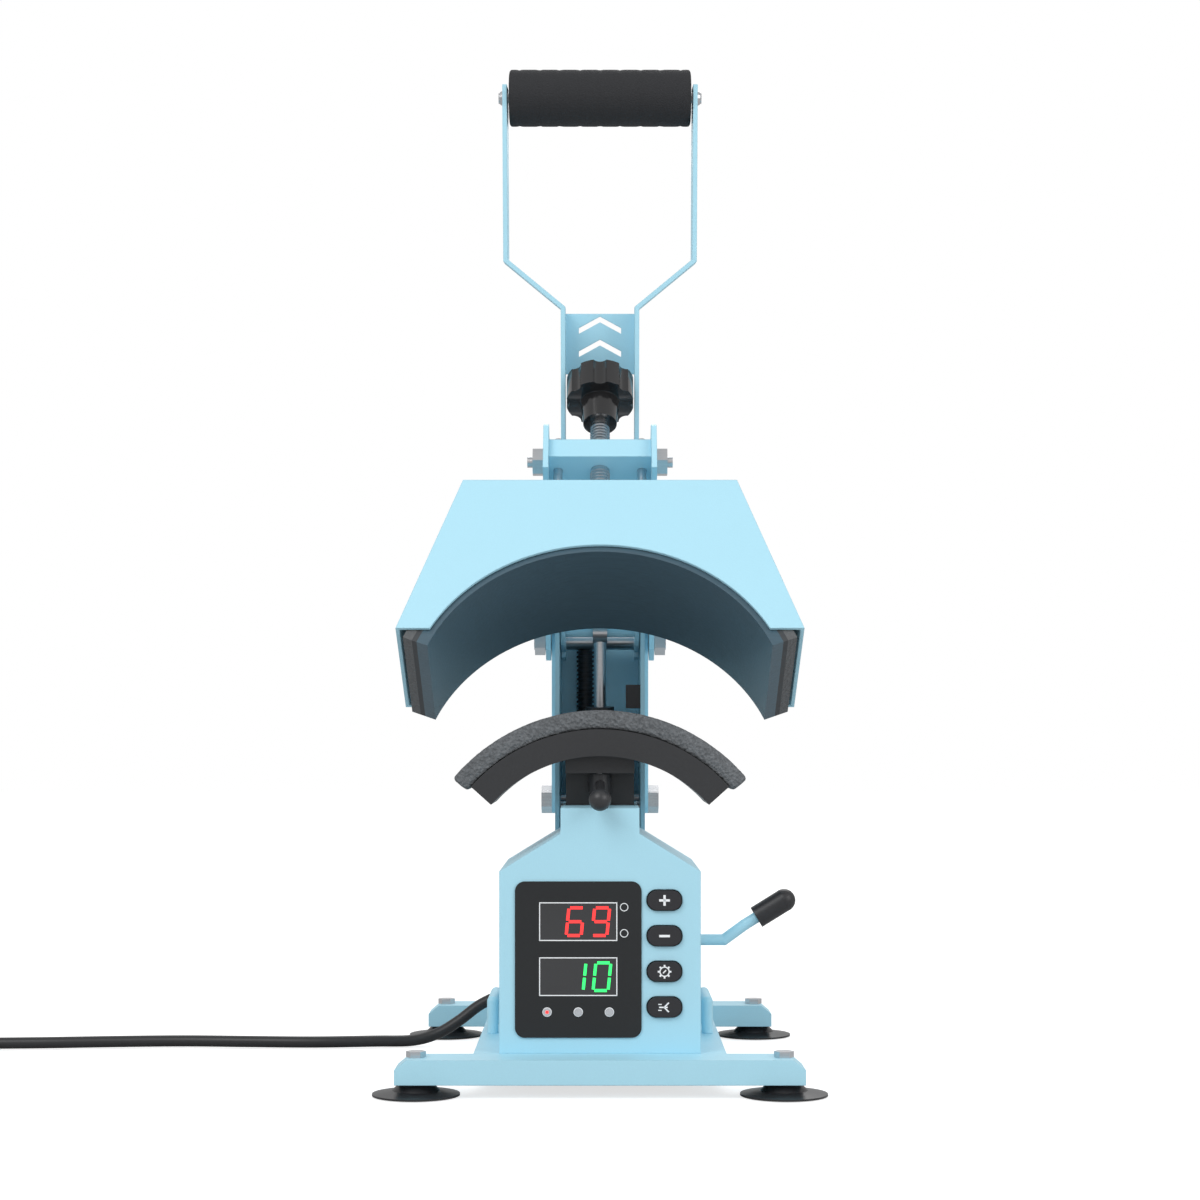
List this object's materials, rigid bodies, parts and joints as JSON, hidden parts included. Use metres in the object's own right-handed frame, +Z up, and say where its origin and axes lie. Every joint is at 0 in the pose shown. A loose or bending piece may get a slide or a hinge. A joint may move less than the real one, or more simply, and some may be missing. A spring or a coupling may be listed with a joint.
{
  "type": "cap heat press",
  "caption": "Bench heat press for caps: hinged curved heated platen over a padded curved form, handle with foam grip, control box and suction feet.",
  "frame": {"origin": "on the table under the centre of the four feet", "axes": "+Z up, +X right, front faces -Y"},
  "size_m": [0.67, 0.2845, 0.5504],
  "materials": {
    "blue_paint": "satin powder coat",
    "rubber": "soft satin",
    "steel": "zinc plated",
    "panel_gloss": "gloss",
    "window_tint": "gloss",
    "lamp_lens": "clear",
    "board_green": "matt",
    "black_plastic": "satin",
    "button_black": "satin",
    "black_metal": "black coat",
    "pad_foam": "open foam",
    "grip_foam": "matt foam",
    "platen_coat": "satin coat",
    "heater_rubber": "matt",
    "wool": "fibre",
    "knob_gloss": "gloss",
    "cord_jacket": "satin"
  },
  "bodies": {
    "frame": {"front_bar": "blue_paint", "rear_bar": "blue_paint", "left_rail": "blue_paint", "right_rail": "blue_paint", "base_plate": "blue_paint", "side_staples": "blue_paint", "control_housing": "blue_paint", "rear_cover": "blue_paint", "column": "blue_paint", "stay_plates": "blue_paint", "suction_feet": "rubber", "foot_bolts": "steel", "main_pivot_pin": "steel", "pivot_nuts": "steel", "stay_bolts": "steel", "strut_foot_pin": "steel", "lock_pin": "steel", "lever_bush": "steel", "display_panel": "panel_gloss", "display_windows": "window_tint", "status_lamps": "lamp_lens", "circuit_board": "board_green", "relay_block": "black_plastic", "power_switch_frame": "black_plastic", "fuse_holder": "black_plastic", "limit_switch": "black_plastic", "conduit": "black_plastic", "cord_gland": "black_plastic", "plug": "black_plastic", "form_post": "black_metal", "lower_form": "black_metal", "foam_pad": "pad_foam", "cord_run": "cord_jacket", "cord_coil": "cord_jacket"},
    "arm": {"left_arm_plate": "blue_paint", "right_arm_plate": "blue_paint", "bridge": "blue_paint", "bridge_bolts": "steel", "drive_pin": "steel"},
    "head": {"head_cover": "blue_paint", "heated_platen": "platen_coat", "heater_mat": "heater_rubber", "insulation": "wool", "head_block": "steel", "guide_pins": "steel"},
    "knob": {"pressure_screw": "steel", "pressure_knob": "knob_gloss"},
    "handle": {"handle_frame": "blue_paint", "grip_tube": "steel", "foam_grip": "grip_foam"},
    "strut_tube": {"strut_cylinder": "black_metal"},
    "strut_piston": {"strut_rod": "steel"},
    "plus_key": {"plus_button": "button_black"},
    "minus_key": {"minus_button": "button_black"},
    "settings_key": {"settings_button": "button_black"},
    "start_key": {"start_button": "button_black"},
    "form_lock": {"lock_lever": "black_metal"},
    "side_lever": {"pull_lever": "blue_paint", "lever_sleeve": "black_plastic"},
    "rocker": {"power_rocker": "black_plastic"}
  },
  "joints": [
    {"name": "arm_hinge", "type": "hinge", "parent": "frame", "child": "arm", "pos_m": [0, 0.06, 0.234], "axis": [1, 0, 0], "range_deg": [0, 32], "stiffness_Nm_per_rad": 30, "springref_deg": -20.05},
    {"name": "handle_swing", "type": "hinge", "parent": "frame", "child": "handle", "pos_m": [0, 0.06, 0.234], "axis": [1, 0, 0], "range_deg": [0, 35.3]},
    {"name": "strut_swing", "type": "hinge", "parent": "frame", "child": "strut_tube", "pos_m": [0, 0.034, 0.14], "axis": [1, 0, 0], "range_deg": [-1.75, 0]},
    {"name": "strut_slide", "type": "slide", "parent": "strut_tube", "child": "strut_piston", "axis": [0, -0.0713, 0.9975], "range_m": [-0.0201, 0]},
    {"name": "knob_turn", "type": "hinge", "parent": "arm", "child": "knob", "pos_m": [0, 0.01653, 0.35314], "axis": [0, 0.5299, 0.848], "range_deg": [0, 960]},
    {"name": "head_slide", "type": "slide", "parent": "arm", "child": "head", "axis": [0, 0.5299, 0.848], "range_m": [0, 0.008]},
    {"name": "lock_swing", "type": "hinge", "parent": "frame", "child": "form_lock", "pos_m": [0, -0.057, 0.155], "axis": [0, 0, 1], "range_deg": [-25, 25]},
    {"name": "side_lever_swing", "type": "hinge", "parent": "frame", "child": "side_lever", "pos_m": [0.06, -0.04, 0.071], "axis": [1, 0, 0], "range_deg": [0, 60]},
    {"name": "rocker_tilt", "type": "hinge", "parent": "frame", "child": "rocker", "pos_m": [0.038, 0.0063, 0.074], "axis": [1, 0, 0], "range_deg": [-5, 5]},
    {"name": "plus_press", "type": "slide", "parent": "frame", "child": "plus_key", "axis": [0, 1, 0], "range_m": [0, 0.001], "stiffness_N_per_m": 300},
    {"name": "minus_press", "type": "slide", "parent": "frame", "child": "minus_key", "axis": [0, 1, 0], "range_m": [0, 0.001], "stiffness_N_per_m": 300},
    {"name": "settings_press", "type": "slide", "parent": "frame", "child": "settings_key", "axis": [0, 1, 0], "range_m": [0, 0.001], "stiffness_N_per_m": 300},
    {"name": "start_press", "type": "slide", "parent": "frame", "child": "start_key", "axis": [0, 1, 0], "range_m": [0, 0.001], "stiffness_N_per_m": 300}
  ],
  "couplings": [
    {"joint": "handle_swing", "follows": "arm_hinge", "ratio": 1.1},
    {"joint": "strut_swing", "follows": "arm_hinge", "ratio": -0.028},
    {"joint": "strut_slide", "follows": "arm_hinge", "m_per_rad": -0.03572},
    {"joint": "knob_turn", "follows": "head_slide", "rad_per_m": 2090}
  ]
}
